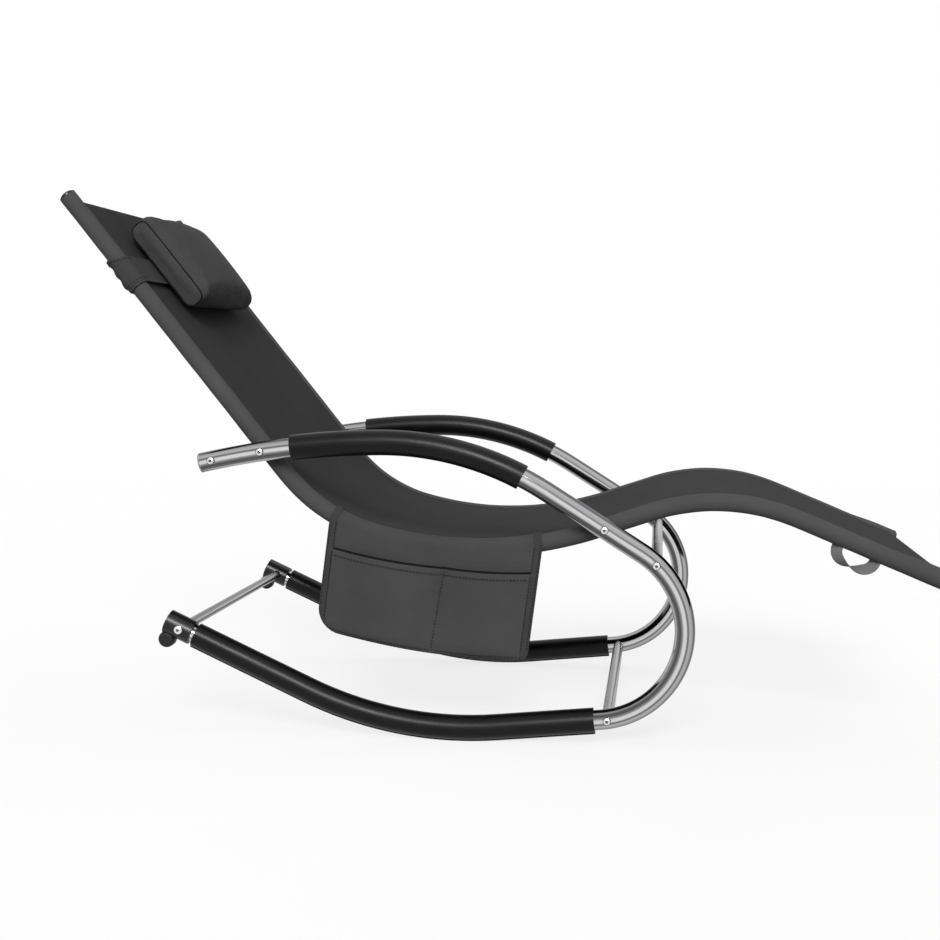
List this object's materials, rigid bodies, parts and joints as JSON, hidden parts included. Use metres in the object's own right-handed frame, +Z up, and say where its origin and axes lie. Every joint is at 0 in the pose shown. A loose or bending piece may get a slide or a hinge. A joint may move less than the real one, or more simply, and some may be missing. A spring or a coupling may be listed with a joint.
{
  "type": "rocking chaise lounge",
  "caption": "Rocking sun lounger: bent tube side loops on foam rocker sleeves, a sling seat on bent rails, a sliding head pillow and a side bag.",
  "frame": {"origin": "on the floor, in the middle of the length and the width", "axes": "+X towards the foot end, +Y to the sitter's left, +Z up"},
  "size_m": [1.4339, 0.6466, 0.889],
  "materials": {
    "polished_tube": "polished",
    "foam_sleeve": "matte",
    "black_plastic": "satin",
    "grey_plastic": "satin",
    "bumper_rubber": "matte",
    "bolt_steel": "satin",
    "painted_tube": "satin",
    "sling_fabric": "matte",
    "pillow_fabric": "matte",
    "elastic_band": "matte",
    "bag_fabric": "matte",
    "binding_tape": "matte",
    "webbing": "matte"
  },
  "bodies": {
    "chair": {"side_loop_right": "polished_tube", "side_loop_left": "polished_tube", "armrest_sleeve_right": "foam_sleeve", "armrest_sleeve_left": "foam_sleeve", "rocker_sleeve_right": "foam_sleeve", "rocker_sleeve_left": "foam_sleeve", "rear_cap_right": "black_plastic", "rear_cap_left": "black_plastic", "rear_bumper_right": "bumper_rubber", "rear_bumper_left": "bumper_rubber", "arm_end_plugs": "grey_plastic", "arm_plug_screws": "bolt_steel", "rear_crossbar": "polished_tube", "lower_crossbar": "polished_tube", "upper_crossbar": "polished_tube", "crossbar_inserts": "black_plastic", "crossbar_bolts": "bolt_steel", "back_rail_right": "painted_tube", "back_rail_left": "painted_tube", "leg_rail_right": "painted_tube", "leg_rail_left": "painted_tube", "rail_joiners": "painted_tube", "rail_end_plugs": "black_plastic", "head_bar": "painted_tube", "foot_bar": "painted_tube", "bar_saddles": "black_plastic", "rail_spacers": "black_plastic", "rail_bolts": "bolt_steel", "rail_nuts": "bolt_steel", "seat_sling": "sling_fabric", "bag_back_panel": "bag_fabric", "bag_pockets": "bag_fabric", "bag_edge_tape": "binding_tape", "leg_strap": "webbing"},
    "head_pillow": {"pillow": "pillow_fabric", "pillow_band": "elastic_band"}
  },
  "joints": [
    {"name": "pillow_slide", "type": "slide", "parent": "chair", "child": "head_pillow", "axis": [0.6266, 0, -0.7793], "range_m": [-0.06, 0.23]}
  ]
}
